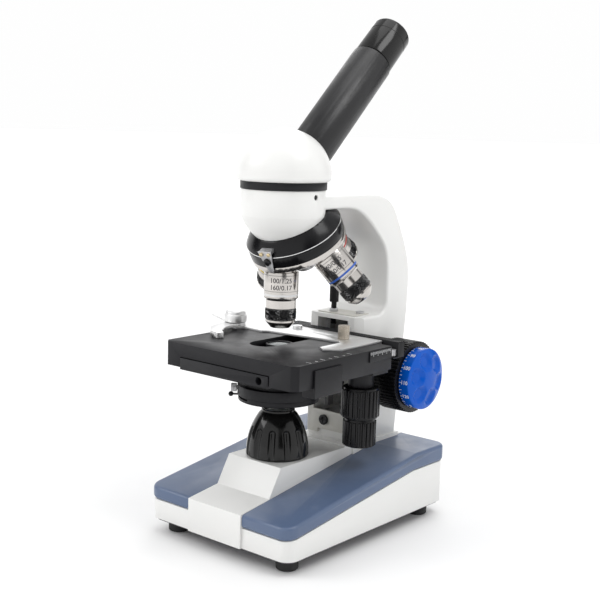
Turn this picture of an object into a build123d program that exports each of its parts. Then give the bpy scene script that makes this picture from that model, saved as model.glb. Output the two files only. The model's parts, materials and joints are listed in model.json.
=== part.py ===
from build123d import *
import math
import os

# A monocular compound microscope. Millimetres, +Z up, the front faces -Y.
# Everything is drawn about the optical axis (x = 0, y = 0) with the bench at z = 0,
# and moved at the end so that the origin is the middle of the footprint on the bench.

# stand
foot_r, foot_h = 7.5, 9.0
foot_x, foot_front_y, foot_rear_y = 51.0, -46.0, 104.0
plate_t = 1.5
base_half_w, base_front_y, base_rear_y = 65.2, -61.4, 119.1
base_z = foot_h + plate_t
cover_proud, cover_t = 0.9, 2.4
cover_front_z, cover_rear_z, cover_break_y = 33.8, 54.3, 80.0
skirt_front_z, skirt_rear_z, skirt_break_y = 24.3, 41.8, 76.0
base_corner_r = 9.0
ridge_half_w, ridge_proud = 24.4, 0.9
ridge_z, ramp_foot_y, ramp_foot_z, ramp_top_y = 57.1, -35.0, 37.7, -23.7
pad_half_w, pad_front_y, pad_rear_y = 26.0, 55.0, 111.0

# arm
arm_half_w = 25.0
column_plate_y, housing_front_y = 56.5, 58.8
column_foot_rear_y, arm_rear_y, arm_inner_y = 109.0, 119.2, 91.5
arm_fillet_r = 10.3
arm_top_z, arm_under_z = 240.0, 231.0
housing_z, housing_chamfer = 150.7, 5.0
cap_z, bolt_seat_z = 151.4, 49.6
plate_screw_x, plate_screw_z = -3.5, 70.8
stop_x, stop_y = -7.0, 68.5
cavity_half_w, cavity_rear_y, cavity_z0, cavity_z1 = 16.0, 103.0, 74.0, 147.7

# head
head_r, head_seam_z, head_top_z = 29.1, 226.6, 244.4
bowl_z, bowl_r = 208.2, 14.0
socket_r, socket_z = 20.3, 236.0
head_bore_r = 10.0
grub_z = 240.2
ring_r, ring_z0, ring_z1 = 29.8, 244.6, 249.9
dome_r, dome_wall, dome_band_z, dome_top_z = 32.5, 2.6, 257.2, 285.4

# eyepiece tube, measured along its axis from the bend in the light path
bend_z, tube_rise = 244.6, 43.6
tube_r, tube_bore_r, tube_s0, tube_s1 = 15.6, 11.62, 22.0, 130.0
eyepiece_r, eyepiece_s1, barrel_r, barrel_s0 = 14.9, 164.2, 11.57, 96.0

# nosepiece: its axis leans back, so that the objective in use hangs upright
apex_z, nose_tilt = 235.5, 30.0
nose_r, dome_edge_h, rim_h0, rim_h1 = 34.4, 22.9, 31.4, 35.2
shoulder_z, tip_z = 187.8, 148.6
objective_r, objective_step_r, grip_r = 12.05, 10.55, 10.95
objective_step_z, grip_z1, grip_z0 = 169.3, 162.4, 154.3
objective_count = 4
click_angle = 5.0

# stage
stage_z, stage_x0, stage_x1 = 138.7, -55.0, 64.5
stage_y0, stage_y1 = -58.6, 44.0
deck_z, skirt_z = 129.6, 122.3
carrier_x0, carrier_x1, carrier_z0, carrier_z1 = -38.4, 42.0, 121.0, 129.0
slot_half_w, slot_y0, slot_y1 = 10.5, -26.0, 39.5
rail_x0, rail_x1, rail_y1, rail_z = -50.0, 66.0, 56.8, 140.8
holder_z0, holder_z1 = 138.8, 140.2
clip_x, clip_y = -57.0, 15.0
stage_knob_x, stage_knob_y = 43.5, 38.0
carrier_side_x = 33.0
tooth_module = 0.8
stage_pinion_teeth = 20

# focus drive
knob_y, knob_z = 85.0, 109.1
focus_pinion_teeth = 14
coarse_r, coarse_x0, coarse_x1 = 26.2, 30.0, 57.6
fine_r, fine_x0, fine_x1, fine_rim = 22.3, 58.1, 71.0, 8.0
coarse_shaft_r, fine_shaft_r = 4.0, 2.0
running_gap = 0.04

# condenser and iris
condenser_r = 17.0
mount_r, mount_z0, mount_z1 = 29.0, 101.2, 108.0
iris_z0, iris_z1 = 96.8, 101.0
iris_pivot_r, leaf_count = 19.5, 6

# lamp
lamp_r, lamp_top_r, lamp_z = 22.1, 11.6, 89.4

# switch and dimmer
switch_z, pivot_r, pivot_depth = 26.0, 1.2, 3.5
dimmer_x, dimmer_y = -58.7, 60.0


def block(x0, x1, y0, y1, z0, z1):
    return Pos((x0 + x1) / 2, (y0 + y1) / 2, (z0 + z1) / 2) * Box(x1 - x0, y1 - y0, z1 - z0)


def post(r, z0, z1, x=0.0, y=0.0):
    return Pos(x, y, (z0 + z1) / 2) * Cylinder(r, z1 - z0)


def pipe(r_out, r_in, z0, z1, x=0.0, y=0.0):
    return post(r_out, z0, z1, x, y) - post(r_in, z0 - 1, z1 + 1, x, y)


def bar_x(r, x0, x1, y, z):
    return Pos((x0 + x1) / 2, y, z) * Rot(0, 90, 0) * Cylinder(r, x1 - x0)


def side_profile(points, half_w):
    """A closed outline in the YZ plane, extruded to both sides of x = 0."""
    face = make_face(Plane.YZ * Polyline(*points, close=True))
    return extrude(face, half_w, both=True)


def turned(points):
    """A closed (radius, z) outline, turned about the Z axis."""
    face = make_face(Plane.XZ * Polyline(*points, close=True))
    return revolve(face, Axis.Z)


def joined(solids):
    return Compound(children=list(solids))


def ring_of(count, radius, start=0.0):
    """Angle in degrees and x, y of evenly spaced places round a circle."""
    for i in range(count):
        angle = start + 360.0 * i / count
        turn = math.radians(angle)
        yield angle, radius * math.cos(turn), radius * math.sin(turn)


def ribbed(r_tip, depth, count, height):
    """A grip with straight ribs, standing on z = 0."""
    pitch = 2 * math.pi / count
    points = []
    for i in range(count):
        for r, part in ((r_tip - depth, 0.0), (r_tip - depth, 0.34), (r_tip, 0.46), (r_tip, 0.88)):
            turn = (i + part) * pitch
            points.append((r * math.cos(turn), r * math.sin(turn)))
    return extrude(make_face(Polyline(*points, close=True)), height)


def pinion(teeth, width, bore):
    """A small spur gear on z = 0 with a tooth space at angle zero."""
    pitch_r = teeth * tooth_module / 2
    step = 2 * math.pi / teeth
    points = []
    for i in range(teeth):
        middle = (i + 0.5) * step
        for r, part in ((-1.1, -0.24), (0.8, -0.13), (0.8, 0.13), (-1.1, 0.24)):
            turn = middle + part * step
            radius = pitch_r + r * tooth_module
            points.append((radius * math.cos(turn), radius * math.sin(turn)))
    wheel = extrude(make_face(Polyline(*points, close=True)), width)
    return wheel - post(bore, -1, width + 1)


def rack(first, last, back, width):
    """A rack along X with teeth to +Y about the pitch line y = 0 and one tooth at x = 0."""
    step = math.pi * tooth_module
    points = []
    for i in range(first, last + 1):
        for across, out in ((-0.24, -1.1), (-0.13, 0.8), (0.13, 0.8), (0.24, -1.1)):
            points.append(((i + across) * step, out * tooth_module))
    left, right = (first - 0.4) * step, (last + 0.4) * step
    points = [(left, -back), (left, -1.1 * tooth_module)] + points
    points += [(right, -1.1 * tooth_module), (right, -back)]
    return extrude(make_face(Polyline(*points, close=True)), width)


def softened(body, edges, radii):
    """Round the given edges with the first radius that the shape allows."""
    for radius in radii:
        try:
            return fillet(edges, radius)
        except Exception:
            print("a fillet of", radius, "does not fit")
    return body


def screw(r_head, h_head, r_shank, length):
    """A round-head screw, head standing on z = 0 and shank going down, with a cross slot."""
    body = post(r_head, 0, h_head) + post(r_shank, -length, 0)
    slot = block(-r_head * 0.6, r_head * 0.6, -0.35, 0.35, h_head * 0.5, h_head + 1)
    return body - slot - Rot(0, 0, 90) * slot


# ---------------------------------------------------------------- base

def cover_top_z(y):
    slope = (cover_rear_z - cover_front_z) / (cover_break_y - base_front_y)
    return min(cover_front_z + slope * (y - base_front_y), cover_rear_z)


def base_prism(inset, top, bottom):
    """The base footprint between two sets of side-view points, with rounded corners."""
    body = side_profile(bottom + top[::-1], base_half_w - inset)
    corners = body.edges().filter_by(Axis.Z)
    return fillet(corners, max(base_corner_r - inset, 1.5))


def base_lines(inset, drop):
    """Side-view points of the cover top, lowered by drop, for a footprint inset by inset."""
    y0, y1 = base_front_y + inset, base_rear_y - inset
    return [(y0, cover_top_z(y0) - drop), (cover_break_y, cover_rear_z - drop), (y1, cover_rear_z - drop)]


def skirt_lines(inset, drop=0.0):
    y0, y1 = base_front_y + inset, base_rear_y - inset
    return [(y0, skirt_front_z - drop), (skirt_break_y, skirt_rear_z - drop), (y1, skirt_rear_z - drop)]


def ridge_solid(half_w, front_y, lower=0.0):
    """The raised spine that carries the lamp and the column."""
    return side_profile([
        (front_y, base_z), (front_y, cover_front_z - lower), (ramp_foot_y, ramp_foot_z - lower),
        (ramp_top_y, ridge_z - lower), (pad_rear_y, ridge_z - lower), (pad_rear_y, base_z)], half_w)


def cover_pair():
    outer = base_prism(-cover_proud, base_lines(-cover_proud, 0.0), skirt_lines(-cover_proud))
    outer = fillet([e for e in outer.edges() if e.center().Z > cover_front_z - 2.0
                    and abs(e.center().X) > 1 or e.center().Z > cover_front_z - 1.0], 2.6)
    inner = base_prism(cover_t - cover_proud, base_lines(cover_t - cover_proud, cover_t),
                       skirt_lines(cover_t - cover_proud, 9.0))
    shell = outer - inner
    gap = block(-ridge_half_w - 0.2, ridge_half_w + 0.2, -90, 140, 0, 90)
    pad = block(-pad_half_w - 0.2, pad_half_w + 0.2, pad_front_y - 0.2, pad_rear_y + 0.2, 0, 90)
    shell = shell - gap - pad
    halves = shell.solids().sort_by(Axis.X)
    return halves[0], halves[-1]


def base_body():
    walls = base_prism(0.0, skirt_lines(0.0), [(base_front_y, base_z), (base_rear_y, base_z)])
    step = cover_t - cover_proud + 0.2
    deck = base_prism(step, base_lines(step, cover_t + 0.2), [(base_front_y + step, base_z),
                                                            (base_rear_y - step, base_z)])
    ridge = ridge_solid(ridge_half_w, base_front_y - ridge_proud - 1.0)
    pad = block(-pad_half_w, pad_half_w, pad_front_y, pad_rear_y, base_z, ridge_z)
    rear_bar = block(-ridge_half_w, ridge_half_w, pad_rear_y, base_rear_y, base_z, cover_rear_z)
    lip = block(-ridge_half_w, ridge_half_w, 47.0, 48.6, ridge_z - 1, ridge_z + 0.9)
    body = walls + deck + ridge + pad + rear_bar + lip
    hollow = base_prism(5.5, base_lines(5.5, 7.0), [(base_front_y + 5.5, base_z - 1),
                                                   (base_rear_y - 5.5, base_z - 1)])
    body = body - hollow
    lamp_well = post(18.0, ridge_z - 30, ridge_z + 1)
    cable_way = post(6.0, ridge_z - 30, ridge_z + 1, 0, 92.0)
    bolts = [post(2.2, ridge_z - 30, ridge_z + 1, x, y) for x, y in column_bolt_places()]
    bolts += [post(4.3, ridge_z - 30, bolt_seat_z, x, y) for x, y in column_bolt_places()]
    sockets = block(-52, -36, base_rear_y - 8, base_rear_y + 2, 20, 32)
    switch = block(30, 50.5, base_rear_y - 8, base_rear_y + 2, 19, 33)
    switch = switch + bar_x(pivot_r + running_gap, 28.0, 52.5, base_rear_y - pivot_depth, switch_z)
    dial = block(-base_half_w - 2, -base_half_w + 8, 48, 72, 22.0, 28.0)
    for cut in [lamp_well, cable_way, sockets, switch, dial] + bolts:
        body = body - cut
    for x, y in plate_screw_places():
        body = body + pipe(4.0, 1.6, base_z, cover_top_z(y) - 5.0, x, y)
    return body


def plate_screw_places():
    return [(x, y) for x in (-38, 38) for y in (-30, 88)]


def bottom_plate():
    inset = 2.0
    front_y, rear_y = base_front_y + inset, base_rear_y - inset
    plate = base_prism(inset, [(front_y, foot_h + plate_t), (rear_y, foot_h + plate_t)],
                       [(front_y, foot_h), (rear_y, foot_h)])
    for x, y in plate_screw_places():
        plate = plate - post(1.8, 0, 20, x, y)
    for x, y in foot_places():
        plate = plate - post(2.2, 0, 20, x, y)
    return plate


def foot_places():
    return [(x, y) for x in (-foot_x, foot_x) for y in (foot_front_y, foot_rear_y)]


def rubber_feet():
    foot = turned([(0, 0), (foot_r - 0.8, 0), (foot_r, 0.8), (foot_r, foot_h - 1.5), (foot_r - 1.5, foot_h),
                   (0, foot_h)])
    stud = post(2.1, foot_h, foot_h + 4.0)
    return joined(Pos(x, y, 0) * (foot + stud) for x, y in foot_places())


# ---------------------------------------------------------------- arm and head

def arm_shape():
    """The one-piece casting: hollow column and the curved arm that reaches over the stage."""
    outer = Spline((arm_rear_y, 152.0), (118.6, 186.0), (104.0, 219.6), (66.0, arm_top_z),
                   tangents=((0.02, 1.0), (-1.0, 0.0)))
    inner = Spline((20.0, arm_under_z), (58.0, 227.0), (80.5, 208.5), (arm_inner_y, 176.0),
                   tangents=((1.0, 0.0), (0.0, -1.0)))
    corner = arm_inner_y - arm_fillet_r
    fillet_arc = CenterArc((corner, housing_z + arm_fillet_r), arm_fillet_r, 270, 90)
    pieces = [
        Line((column_foot_rear_y, ridge_z), (arm_rear_y, 152.0)), outer,
        Polyline((66.0, arm_top_z), (0.0, arm_top_z), (0.0, arm_under_z), (20.0, arm_under_z)), inner,
        Line((arm_inner_y, 176.0), (arm_inner_y, housing_z + arm_fillet_r)), fillet_arc,
        Polyline((corner, housing_z), (housing_front_y, housing_z), (housing_front_y, ridge_z),
                 (column_foot_rear_y, ridge_z)),
    ]
    wire = Wire.combine([edge for piece in pieces for edge in piece.edges()])[0]
    body = extrude(Plane.YZ * Face(wire), arm_half_w, both=True)
    front = [e for e in body.edges().filter_by(Axis.Z) if abs(e.center().Y - housing_front_y) < 0.1]
    body = chamfer(front, housing_chamfer)
    outside = [e for e in body.edges() if abs(abs(e.center().X) - arm_half_w) < 0.01
               and (e.center().Y > arm_inner_y + 8 or e.center().Z > arm_top_z - 15 and e.center().Y > 50)]
    body = softened(body, [e for e in outside if e.length > 20], (3.0, 2.0, 1.0))
    inside = [e for e in body.edges() if abs(abs(e.center().X) - arm_half_w) < 0.01
              and housing_z + 5 < e.center().Z < arm_under_z - 5 and e.center().Y < arm_inner_y + 1]
    return softened(body, inside, (2.0, 1.2, 0.8))


def head_body():
    """The round head under the eyepiece turret, with the bowl above the nosepiece."""
    side = Polyline((0, bowl_z), (bowl_r, bowl_z))
    bowl = ThreePointArc((bowl_r, bowl_z), (24.3, 217.6), (head_r, head_seam_z))
    top = Polyline((head_r, head_seam_z), (head_r, head_top_z), (0, head_top_z), (0, bowl_z))
    wire = Wire.combine([edge for part in (side, bowl, top) for edge in part.edges()])[0]
    return revolve(Plane.XZ * Face(wire), Axis.Z)


def arm_casting():
    body = arm_shape() + head_body()
    cavity = block(-cavity_half_w, cavity_half_w, 70.0, cavity_rear_y, cavity_z0, cavity_z1)
    window = block(-14.0, 14.0, 50.0, 71.0, cavity_z0, cavity_z1)
    cap_seat = block(-17.0, 17.0, 62.0, 80.5, cavity_z1, housing_z + 1)
    wiring = post(6.0, ridge_z - 1, cavity_z0 + 1, 0, 92.0)
    bore = post(head_bore_r, bowl_z - 1, head_top_z + 1)
    socket = post(socket_r, socket_z, head_top_z + 1)
    grub = bar_x(2.0, 15.0, head_r + 3, 0, grub_z)
    shaft_hole = bar_x(7.0, -arm_half_w - 1, arm_half_w + 1, knob_y, knob_z)
    plate_screw = Pos(plate_screw_x, housing_front_y, plate_screw_z) * Rot(90, 0, 0) * Cylinder(1.9, 16.0)
    for cut in (cavity, window, cap_seat, wiring, bore, socket, grub, shaft_hole, plate_screw, nose_swing(),
                nose_place() * post(3.0, -60.0, -13.5)):
        body = body - cut
    for x, y in column_bolt_places():
        body = body - post(1.9, ridge_z - 1, ridge_z + 14, x, y)
    return body


def column_plate():
    """Cover plate on the front of the column, with the slot that the stage bracket runs in."""
    plate = block(-19.5, 19.5, column_plate_y, housing_front_y - 0.02, 60.2, 121.0)
    window = block(-14.0, 14.0, 50.0, 60.0, 78.0, 122.0)
    slot = block(-9.5, 15.0, 50.0, 60.0, 59.0, 63.4)
    hole = Pos(plate_screw_x, column_plate_y, plate_screw_z) * Rot(90, 0, 0) * Cylinder(2.2, 8)
    return plate - window - slot - hole


def guide_cap():
    cap = block(-16.8, 16.8, 62.2, 80.3, cavity_z1 + 0.02, cap_z)
    for x, y, r in ((-12.3, 75.5, 1.6), (12.3, 75.5, 1.6), (stop_x, stop_y, 2.05)):
        cap = cap - post(r, 100, 200, x, y)
    return cap


def column_bolt_places():
    return [(x, y) for x in (-18, 18) for y in (66, 102)]


def machine_screws():
    parts = [Pos(x, y, foot_h) * Rot(180, 0, 0) * screw(3.4, 1.6, 1.55, 12) for x, y in plate_screw_places()]
    parts += [Pos(x, 75.5, cap_z) * screw(2.9, 1.4, 1.5, 4.0) for x in (-12.3, 12.3)]
    column_bolt = Rot(180, 0, 0) * screw(4.0, 3.0, 1.85, 16)
    parts += [Pos(x, y, bolt_seat_z) * column_bolt for x, y in column_bolt_places()]
    front = screw(3.9, 1.5, 1.85, 9.0)
    parts.append(Pos(plate_screw_x, column_plate_y, plate_screw_z) * Rot(90, 0, 0) * front)
    parts.append(pipe(3.2, 2.05, cap_z, cap_z + 2.4, stop_x, stop_y))
    parts.append(bar_x(1.95, 20.5, head_r - 1.0, 0, grub_z))
    return joined(parts)


def stop_screw():
    """The screw that limits how far the stage can rise."""
    rod = post(2.0, 142.0, 158.5, stop_x, stop_y)
    cap = Pos(stop_x, stop_y, 158.5) * ribbed(3.4, 0.35, 18, 16.5)
    return rod + cap


# ---------------------------------------------------------------- focus drive

def focus_bearings():
    rails = [block(s * 11.0, s * cavity_half_w, 70.0, 76.0, 78.0, 144.0) if s > 0 else
             block(-cavity_half_w, -11.0, 70.0, 76.0, 78.0, 144.0) for s in (-1, 1)]
    bushes = []
    for side in (-1, 1):
        x0, x1 = sorted((side * 12.0, side * (arm_half_w + 1.5)))
        bush = bar_x(6.98, x0, x1, knob_y, knob_z)
        bush = bush - bar_x(coarse_shaft_r + running_gap, x0 - 1, x1 + 1, knob_y, knob_z)
        bushes.append(bush - block(-11.2, 11.2, 60, 110, 90, 130))
    return joined(rails + bushes)


def focus_carriage():
    """The sliding block that lifts the stage, running on two rails inside the column."""
    body = block(-15.6, 15.6, 66.0 + 4.6, 78.0, 94.0, 132.0)
    for side in (-1, 1):
        x0, x1 = sorted((side * 10.8, side * 17.0))
        body = body - block(x0, x1, 69.85, 76.15, 90.0, 140.0)
    tongue = block(-10.6, 10.6, 62.0, 78.0, 94.0, 132.0)
    return body + tongue


def steel_racks():
    pitch_r = focus_pinion_teeth * tooth_module / 2
    lift = rack(-7, 8, knob_y - pitch_r - 78.0, 6.0)
    lift = Pos(3.0, knob_y - pitch_r, knob_z) * Rot(0, -90, 0) * lift
    pitch_s = stage_pinion_teeth * tooth_module / 2
    run = rack(-3, 9, stage_knob_x - pitch_s - carrier_side_x, 4.4)
    run = Pos(stage_knob_x - pitch_s, stage_knob_y, 123.3) * Rot(0, 0, -90) * run
    return joined([lift, run])


def coarse_shaft():
    pitch = math.degrees(math.pi / focus_pinion_teeth)
    shaft = bar_x(coarse_shaft_r, -coarse_x1 + 4, coarse_x1 - 4, knob_y, knob_z)
    gear = Pos(-4.0, knob_y, knob_z) * Rot(0, 90, 0) * Rot(0, 0, -90) * pinion(focus_pinion_teeth, 8.0, 3.9)
    return shaft + gear - bar_x(fine_shaft_r + running_gap, -80, 80, knob_y, knob_z)


def coarse_knobs():
    width = coarse_x1 - coarse_x0
    grip = ribbed(coarse_r, 0.9, 60, width - 7.0)
    grip = Pos(0, 0, 7.0) * grip + post(coarse_r - 1.4, 0, 7.5)
    grip = grip - post(coarse_r - 5.0, -1, width - 9.0) - post(fine_r - 3.0, width - 2.0, width + 1)
    grip = grip + post(9.0, 0, width - 8.0) - post(coarse_shaft_r, -1, width + 1)
    right = Pos(coarse_x0, knob_y, knob_z) * Rot(0, 90, 0) * grip
    left = Pos(-coarse_x0, knob_y, knob_z) * Rot(0, -90, 0) * grip
    return joined([left, right])


def fine_shaft():
    return bar_x(fine_shaft_r, -fine_x1 + 2.0, fine_x1 - 2.0, knob_y, knob_z)


def fine_knobs():
    """Fine focus knobs: a graduated rim and a face with round finger dimples."""
    width = fine_x1 - fine_x0
    crown = width - fine_rim
    dome_radius = (fine_r ** 2 + crown ** 2) / (2 * crown)
    knob = post(fine_r, 0, width + 1) & (Pos(0, 0, width - dome_radius) * Sphere(dome_radius))
    for _, x, y in ring_of(6, 13.9, 15.0):
        knob = knob - Pos(x, y, width + 4.4) * Sphere(7.6)
    knob = knob - post(fine_shaft_r, -1, width - 2.0)
    right = Pos(fine_x0, knob_y, knob_z) * Rot(0, 90, 0) * knob
    left = Pos(-fine_x0, knob_y, knob_z) * Rot(0, -90, 0) * knob
    return joined([left, right])


# ---------------------------------------------------------------- stage

def stage_carrier():
    """The fixed frame under the stage plate, hung on the focus carriage."""
    frame = block(carrier_x0, carrier_x1, -59.0, 55.6, carrier_z0, carrier_z1)
    hole = post(18.2, 100, 140)
    side_gap = block(carrier_side_x, 50.0, 6.0, 57.0, 100, 140)
    frame = frame - hole - side_gap
    hanger = block(-10.4, 10.4, 48.0, 62.0, 94.0, carrier_z0)
    return frame + hanger - Pos(34.0, -59.0, 125.0) * Rot(90, 0, 0) * Cylinder(2.6, 12.0)


def stage_plate():
    plate = block(stage_x0, stage_x1, stage_y0, stage_y1, deck_z, stage_z)
    left = block(stage_x0, carrier_x0 - 0.4, stage_y0, stage_y1, skirt_z, deck_z)
    right = block(carrier_x1 + 0.6, stage_x1, stage_y0, stage_y1, skirt_z, deck_z)
    body = plate + left + right
    corners = [e for e in body.edges().filter_by(Axis.Z) if abs(e.center().Y - stage_y0) < 0.1
               and (abs(e.center().X - stage_x0) < 0.1 or abs(e.center().X - stage_x1) < 0.1)]
    body = chamfer(corners, 4.0)
    slot = block(-slot_half_w, slot_half_w, slot_y0 + slot_half_w, slot_y1, 100, 150)
    slot = slot + post(slot_half_w, 100, 150, 0, slot_y0 + slot_half_w)
    x, y = stage_knob_x, stage_knob_y
    lower_pocket = post(10.6, 110, deck_z + 0.1, x, y) + block(30.0, x, y - 10.6, 50.0, 110, deck_z + 0.1)
    lower_pocket = lower_pocket + block(30.0, carrier_x1 + 6.0, -30.0, 50.0, 110, deck_z + 0.1)
    upper_pocket = post(9.6, 130.6, 136.6, x, y) + block(x - 9.6, x + 9.6, y, 50.0, 130.6, 136.6)
    shaft_way = post(3.3, 120, 137.0, x, y)
    for cut in (slot, lower_pocket, upper_pocket, shaft_way):
        body = body - cut
    neck = post(9.2, 108.0, skirt_z, x, y)
    neck = neck + block(x, stage_x1 - 2.0, y - 12.0, stage_y1 - 0.5, 119.6, skirt_z)
    neck = neck - post(5.0 + running_gap, 100, 130, x, y)
    return body + neck


def stage_scales():
    side_block = block(stage_x1 + 0.02, stage_x1 + 1.6, -40.8, -12.6, 115.6, 134.0)
    side_block = side_block + block(stage_x1 - 9.0, stage_x1 + 1.6, -40.8, -12.6, 115.6, skirt_z - 0.02)
    scale = block(stage_x1 + 0.02, stage_x1 + 0.9, 18.0, 43.0, 130.6, 137.9)
    return joined([side_block, scale])


def x_rail():
    """The grooved rail behind the stage plate that guides the slide holder."""
    body = block(rail_x0, rail_x1, stage_y1 + 0.05, rail_y1, deck_z, rail_z)
    channel = block(rail_x0 - 1, rail_x1 + 1, 40.0, 49.6, deck_z + 0.9, rail_z + 1)
    body = body - channel
    for y in (51.4, 53.6, 55.6):
        body = body - block(rail_x0 - 1, rail_x1 + 1, y - 0.45, y + 0.45, rail_z - 0.9, rail_z + 1)
    return body - post(9.6, deck_z + 0.9, 140, stage_knob_x, stage_knob_y)


def slide_holder():
    """The plate that pushes the specimen slide, with its fixed right jaw."""
    outline = Polyline((-64.0, 49.0), (-64.0, 13.0), (-58.0, 6.5), (-50.5, 9.0), (-48.0, 15.0), (-30.0, 14.0),
                       (-26.0, 17.5), (33.0, 24.0), (37.6, 20.0), (37.6, -2.0), (44.0, -6.5), (52.5, 3.0),
                       (52.5, 49.0), close=True)
    plate = extrude(Pos(0, 0, holder_z0) * make_face(outline), holder_z1 - holder_z0)
    tongue = block(-40.0, 52.0, 47.0, 49.2, 135.7, holder_z0)
    for x, y, r in ((clip_x, clip_y, 2.0), (-18.0, 40.0, 1.5), (30.5, 33.0, 1.5)):
        plate = plate - post(r, 130, 150, x, y)
    return plate + tongue


def x_rack():
    pitch_r = stage_pinion_teeth * tooth_module / 2
    bar = rack(-8, 8, 3.2, 4.6)
    return Pos(stage_knob_x, stage_knob_y + pitch_r, 131.1) * Rot(0, 0, 180) * bar


def holder_fittings():
    """Thumbscrew of the slide holder, its low companion screw, and the spring cap of the clip."""
    thumb = Pos(30.5, 33.0, holder_z1) * (ribbed(4.1, 0.4, 24, 9.6) + post(1.45, -1.2, 1.0))
    low = Pos(-18.0, 40.0, holder_z1) * screw(3.6, 2.2, 1.4, 1.2)
    cap = turned([(0, 0), (8.2, 0), (8.4, 0.4), (8.4, 5.0), (7.6, 5.6), (7.6, 7.4), (6.4, 8.4), (0, 8.4)])
    cap = Pos(clip_x, clip_y, 143.2) * (cap - post(6.4, -1, 5.0))
    pin = post(1.96, holder_z0 + 0.1, 150.0, clip_x, clip_y)
    return joined([thumb, low, cap + pin])


def clip_spring():
    path = Helix(pitch=1.0, height=3.0, radius=4.2)
    section = Plane(origin=path @ 0, z_dir=path % 0) * Circle(0.32)
    return Pos(clip_x, clip_y, 144.0) * sweep(section, path=path)


def clip_lever():
    """The sprung finger that holds the slide's other end, with its thumb tab."""
    hub = pipe(7.4, 2.0 + running_gap, holder_z1 + 0.2, 142.6, clip_x, clip_y)
    blade = Polyline((-63.5, 12.0), (-56.0, -12.0), (-44.0, -24.5), (-34.5, -27.0), (-33.0, -22.5),
                     (-40.0, -17.0), (-47.0, -6.0), (-50.5, 11.0), close=True)
    blade = extrude(Pos(0, 0, holder_z1 + 0.2) * make_face(blade), 2.4)
    tip = Polyline((-47.0, -20.0), (-38.0, -26.4), (-34.5, -27.0), (-33.0, -22.5), (-40.0, -17.0), close=True)
    tip = extrude(Pos(0, 0, stage_z + 0.3) * make_face(tip), 2.0)
    tab = Pos(clip_x - 15.0, clip_y + 2.6, 143.6) * Rot(0, 8, -10) * Box(21.0, 8.0, 1.6)
    tab = tab - post(8.9, 142.7, 170, clip_x, clip_y)
    hole = post(2.0 + running_gap, 130, 150, clip_x, clip_y)
    return hub + blade + tip + tab - hole


def stage_knobs():
    """Two coaxial knobs below the stage: the upper moves it front to back, the lower side to side."""
    x, y = stage_knob_x, stage_knob_y
    upper = Pos(x, y, 87.0) * ribbed(13.8, 1.1, 24, 19.0) + post(12.4, 85.6, 107.4, x, y)
    upper = upper - post(3.2, 60, 110, x, y)
    sleeve = pipe(5.0, 3.0 + running_gap, 107.4, 128.2, x, y)
    gear = Pos(x, y, 123.4) * Rot(0, 0, 180) * pinion(stage_pinion_teeth, 4.2, 4.9)
    lower = Pos(x, y, 66.0) * ribbed(11.9, 1.0, 22, 17.2) + post(10.6, 65.2, 84.8, x, y)
    shaft = post(3.0, 84.8, 135.6, x, y)
    x_gear = Pos(x, y, 131.2) * Rot(0, 0, 90) * pinion(stage_pinion_teeth, 4.2, 2.9)
    return upper + sleeve + gear, lower + shaft + x_gear


# ---------------------------------------------------------------- condenser

def condenser_mount():
    ring = pipe(mount_r, condenser_r + 0.1, mount_z0, mount_z1)
    ring = ring + pipe(24.0, condenser_r + 0.1, mount_z1, carrier_z0)
    clear_hanger = block(-12, 12, 46.0, 70.0, 80, 125)
    ring = ring - block(26.0, 60, 10.0, 60, 109.0, 130) - clear_hanger
    screw_way = Rot(0, 0, 220) * bar_x(1.6, 15.0, 32.0, 0, 104.6)
    return ring - screw_way


def condenser_screw():
    body = bar_x(1.55, 17.2, 29.5, 0, 104.6) + Pos(29.5, 0, 104.6) * Rot(0, 90, 0) * ribbed(3.0, 0.3, 16, 4.0)
    return Rot(0, 0, 220) * body


def condenser_barrel():
    outer = turned([(0, iris_z1 - 3.2), (28.4, iris_z1 - 3.2), (28.4, iris_z1), (condenser_r, iris_z1),
                    (condenser_r, 125.4), (9.8, 128.8), (9.8, 136.9), (0, 136.9)])
    light = turned([(0, iris_z1 - 5), (22.6, iris_z1 - 5), (22.6, iris_z1 - 0.4), (14.2, iris_z1 - 0.4),
                    (14.2, 118.0), (8.45, 126.0), (8.45, 140.0), (0, 140.0)])
    lever_way = block(-40, 0, -9.0, 9.0, iris_z1 - 1.7, iris_z1 - 0.5)
    arc = [Rot(0, 0, 40 + turn) * lever_way for turn in (-24, -12, 0, 12, 24)]
    body = outer - light
    for cut in arc:
        body = body - (cut - post(20.0, 90, 110))
    return body


def condenser_lenses():
    top = post(8.4, 130.0, 136.0) + (Pos(0, 0, 136.0 - 20.0) * Sphere(21.4) & post(8.4, 135.9, 140))
    field = post(14.1, 108.0, 112.0) + (Pos(0, 0, 112.0 - 23.0) * Sphere(27.0) & post(14.1, 111.9, 130))
    return joined([top, field])


def iris_cover():
    """Bottom ring of the iris, with the fixed pivot pins of its leaves."""
    plate = turned([(11.0, iris_z0), (25.0, iris_z0), (28.4, iris_z1 - 3.6), (28.4, iris_z1 - 3.22),
                    (11.0, iris_z1 - 3.22)])
    pins = [post(0.7, iris_z1 - 3.3, iris_z1 - 1.75, x, y) for _, x, y in ring_of(leaf_count, iris_pivot_r)]
    for pin in pins:
        plate = plate + pin
    return plate


def iris_leaf(number):
    """One thin curved leaf, turning on its own pin near the rim."""
    sector = Polyline((0, 0), (40, 0), (40, 40), (-40, 40), (-9, 40), close=True)
    band = pipe(17.9, 11.2, 0, 0.16) & extrude(make_face(sector), 1)
    ear = post(1.9, 0, 0.16, iris_pivot_r, 0) + block(14.0, iris_pivot_r, 0.0, 1.9, 0, 0.16)
    leaf = band + ear - post(0.7 + running_gap, -1, 1, iris_pivot_r, 0)
    return Pos(0, 0, iris_z1 - 3.1 + 0.22 * number) * Rot(0, 0, 360.0 * number / leaf_count) * leaf


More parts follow.
